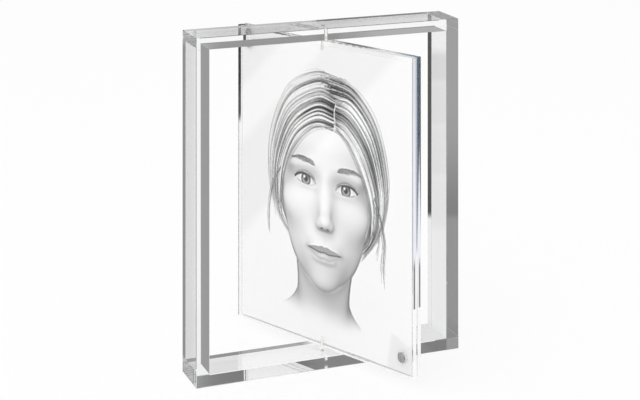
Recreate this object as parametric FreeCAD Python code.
import FreeCAD, Part
import math
import os

# Revolving picture frame of clear acrylic. A window frame of four bonded bars holds a panel of two clear
# plates with two prints between them. The panel turns on an upright axis through the middle of its hinged
# plate. The other plate is loose and held by magnets.
#
# The origin is on the underside of the bottom rail, on the turning axis. X runs to the right, Y to the back
# and Z up. The panel is drawn facing the front and then turned to where it stands.

# Driving dimensions, in millimetres and degrees

print_width = 203.0
print_height = 257.0
print_thickness = 0.25
print_drop = 1.2

plate_thickness = 4.8
plate_border = 3.5
plate_chamfer = 0.3
paper_gap = 0.1

rail_thickness = 10.2
post_thickness = 11.8
frame_depth = 39.3
frame_chamfer = 0.4
side_gap = 3.7
top_gap = 3.7
bottom_gap = 2.1

turned_angle = 65.6

magnet_diameter = 9.0
magnet_thickness = 3.0
magnet_side_inset = 13.3
magnet_end_inset = 14.6
magnet_clearance = 0.05
magnet_chamfer = 0.25

pin_diameter = 2.0
pin_depth_in_plate = 8.0
pin_chamfer = 0.3
pin_seat_clearance = 0.02
pin_running_clearance = 0.05
pin_end_clearance = 0.5

bush_wall = 0.6
bush_seat_clearance = 0.02
bush_end_clearance = 0.2
bush_chamfer = 0.2
flange_diameter = 7.0
flange_running_clearance = 0.2
bore_floor = 1.6
drill_point_angle = 118.0

cut_overrun = 1.0

# Sizes that follow from them

plate_width = print_width + 2 * plate_border
plate_height = print_height + 2 * plate_border
window_width = plate_width + 2 * side_gap
window_height = plate_height + top_gap + bottom_gap
frame_width = window_width + 2 * post_thickness
frame_height = window_height + 2 * rail_thickness

window_bottom = rail_thickness
window_top = frame_height - rail_thickness
plate_bottom = window_bottom + bottom_gap
plate_top = window_top - top_gap

# The sheets have slipped down a little between the plates.
print_bottom = plate_bottom + plate_border - print_drop
print_top = print_bottom + print_height

# The turning axis lies in the middle of the hinged plate, and the rest of the panel is stacked behind it.
hinged_front = -plate_thickness / 2
hinged_back = plate_thickness / 2
front_print_face = hinged_back + paper_gap
back_print_face = front_print_face + print_thickness + paper_gap
loose_front = back_print_face + print_thickness + paper_gap

magnet_radius = magnet_diameter / 2
pocket_radius = magnet_radius + magnet_clearance
pocket_depth = magnet_thickness + magnet_clearance
magnet_reach = plate_width / 2 - magnet_side_inset
magnet_high = plate_top - magnet_end_inset
magnet_low = plate_bottom + magnet_end_inset

pin_radius = pin_diameter / 2
pin_seat_radius = pin_radius + pin_seat_clearance
bush_inner_radius = pin_radius + pin_running_clearance
bush_outer_radius = bush_inner_radius + bush_wall
bush_seat_radius = bush_outer_radius + bush_seat_clearance
flange_radius = flange_diameter / 2
drill_point_height = bush_seat_radius / math.tan(math.radians(drill_point_angle / 2))
bore_depth = rail_thickness - bore_floor - drill_point_height
sleeve_length = bore_depth - bush_end_clearance
pin_reach_into_rail = sleeve_length - pin_end_clearance

UP = FreeCAD.Vector(0, 0, 1)
DOWN = FreeCAD.Vector(0, 0, -1)
BACK = FreeCAD.Vector(0, 1, 0)
CENTRE = FreeCAD.Vector(0, 0, 0)


def block(low, high):
    size = [b - a for a, b in zip(low, high)]
    return Part.makeBox(*size, FreeCAD.Vector(*low))


def chamfered(solid, width):
    return solid.makeChamfer(width, solid.Edges)


def disc(radius, length, place, direction):
    return Part.makeCylinder(radius, length, FreeCAD.Vector(*place), direction)


def turned(solid):
    """The piece of the panel where it stands, with its right end swung to the front."""
    solid.rotate(CENTRE, UP, -turned_angle)
    return solid


# The window frame

def is_window_corner(edge):
    """Whether an edge of the frame is one of the four inside corners, which stay sharp."""
    runs_to_the_back = edge.BoundBox.YLength > frame_depth / 2
    return runs_to_the_back and abs(edge.CenterOfMass.x) < (frame_width - post_thickness) / 2


def frame_ring():
    """The whole frame with its polished edges, as it is before the bond planes part it into bars."""
    half_width, half_depth = frame_width / 2, frame_depth / 2
    half_window = window_width / 2
    outside = block((-half_width, -half_depth, 0), (half_width, half_depth, frame_height))
    window = block((-half_window, -frame_depth, window_bottom), (half_window, frame_depth, window_top))
    ring = outside.cut(window)
    return ring.makeChamfer(frame_chamfer, [edge for edge in ring.Edges if not is_window_corner(edge)])


def bar(x_span, z_span):
    """The stretch of the frame between two places across and two places up."""
    low = (x_span[0], -frame_depth, z_span[0])
    high = (x_span[1], frame_depth, z_span[1])
    return frame_ring().common(block(low, high)).removeSplitter()


def bush_bore(mouth_height, direction):
    """A drilled blind hole with the drill's point at its end. It starts in the window, clear of the rail."""
    mouth = (0, 0, mouth_height - direction.z * cut_overrun)
    hole = disc(bush_seat_radius, bore_depth + cut_overrun, mouth, direction)
    floor = FreeCAD.Vector(0, 0, mouth_height + direction.z * bore_depth)
    point = Part.makeCone(bush_seat_radius, 0, drill_point_height, floor, direction)
    return hole.fuse(point)


def top_rail():
    rail = bar((-frame_width, frame_width), (window_top, frame_height))
    return rail.cut(bush_bore(window_top, UP))


def bottom_rail():
    rail = bar((-frame_width, frame_width), (0, window_bottom))
    return rail.cut(bush_bore(window_bottom, DOWN))


def left_post():
    return bar((-frame_width, 0), (window_bottom, window_top))


def right_post():
    return bar((0, frame_width), (window_bottom, window_top))


# The pivots

def flanged_bush(seat_height, gap, direction):
    """A white bush: a sleeve in the rail, and a flange in the gap that the plate's end runs on."""
    flange_thickness = gap - flange_running_clearance
    seat = FreeCAD.Vector(0, 0, seat_height)
    flange = disc(flange_radius, flange_thickness, seat, -direction)
    flange = chamfered(flange, bush_chamfer)
    sleeve = disc(bush_outer_radius, sleeve_length, seat, direction)
    through = flange_thickness + sleeve_length + 2 * cut_overrun
    start = seat - direction * (flange_thickness + cut_overrun)
    hole = disc(bush_inner_radius, through, start, direction)
    return flange.fuse(sleeve).cut(hole).removeSplitter()


def top_bush():
    return flanged_bush(window_top, top_gap, UP)


def bottom_bush():
    return flanged_bush(window_bottom, bottom_gap, DOWN)


def pivot_pin(plate_end, gap, direction):
    """A white pin from its seat in the hinged plate's end, across the gap, into the rail's bush."""
    length = pin_depth_in_plate + gap + pin_reach_into_rail
    start = (0, 0, plate_end - direction.z * pin_depth_in_plate)
    return turned(chamfered(disc(pin_radius, length, start, direction), pin_chamfer))


def top_pivot_pin():
    return pivot_pin(plate_top, top_gap, UP)


def bottom_pivot_pin():
    return pivot_pin(plate_bottom, bottom_gap, DOWN)


# The picture panel

def plate(front):
    """A clear plate with polished edges, from its front face back by its thickness."""
    half_width = plate_width / 2
    low = (-half_width, front, plate_bottom)
    high = (half_width, front + plate_thickness, plate_top)
    return chamfered(block(low, high), plate_chamfer)


def magnet_places():
    """Upper left and lower right, as the panel is seen from its front."""
    return ((-magnet_reach, magnet_high), (magnet_reach, magnet_low))


def hinged_plate():
    clear = plate(hinged_front)
    for x, z in magnet_places():
        clear = clear.cut(disc(pocket_radius, pocket_depth, (x, hinged_back - pocket_depth, z), BACK))
    depth = pin_depth_in_plate + cut_overrun
    clear = clear.cut(disc(pin_seat_radius, depth, (0, 0, plate_top - pin_depth_in_plate), UP))
    clear = clear.cut(disc(pin_seat_radius, depth, (0, 0, plate_bottom + pin_depth_in_plate), DOWN))
    return turned(clear)


def loose_plate():
    clear = plate(loose_front)
    for x, z in magnet_places():
        clear = clear.cut(disc(pocket_radius, pocket_depth, (x, loose_front, z), BACK))
    return turned(clear)


def magnet(place, floor, direction):
    """A disc magnet that stands on its pocket's floor and stops just short of the plate's inner face."""
    x, z = place
    solid = Part.makeCylinder(magnet_radius, magnet_thickness, FreeCAD.Vector(x, floor, z), direction)
    return turned(chamfered(solid, magnet_chamfer))


def front_magnet(place):
    return magnet(place, hinged_back - pocket_depth, BACK)


def back_magnet(place):
    return magnet(place, loose_front + pocket_depth, -BACK)


def photo_sheet(face):
    """A print, from its front face back by its thickness."""
    half_width = print_width / 2
    return turned(block((-half_width, face, print_bottom), (half_width, face + print_thickness, print_top)))


def front_print():
    return photo_sheet(front_print_face)


def back_print():
    return photo_sheet(back_print_face)


upper_left, lower_right = magnet_places()
pieces = {
    "top_rail": top_rail(),
    "bottom_rail": bottom_rail(),
    "left_post": left_post(),
    "right_post": right_post(),
    "top_bush": top_bush(),
    "bottom_bush": bottom_bush(),
    "hinged_plate": hinged_plate(),
    "top_pivot_pin": top_pivot_pin(),
    "bottom_pivot_pin": bottom_pivot_pin(),
    "upper_left_front_magnet": front_magnet(upper_left),
    "lower_right_front_magnet": front_magnet(lower_right),
    "front_print": front_print(),
    "back_print": back_print(),
    "loose_plate": loose_plate(),
    "upper_left_back_magnet": back_magnet(upper_left),
    "lower_right_back_magnet": back_magnet(lower_right),
}

os.makedirs("parts", exist_ok=True)
for name, solid in pieces.items():
    solid.exportStep(f"parts/{name}.step")
    box = solid.BoundBox
    corners = [round(v, 2) for v in (box.XMin, box.YMin, box.ZMin, box.XMax, box.YMax, box.ZMax)]
    print(name, len(solid.Solids), solid.isValid(), round(solid.Volume, 2), corners)
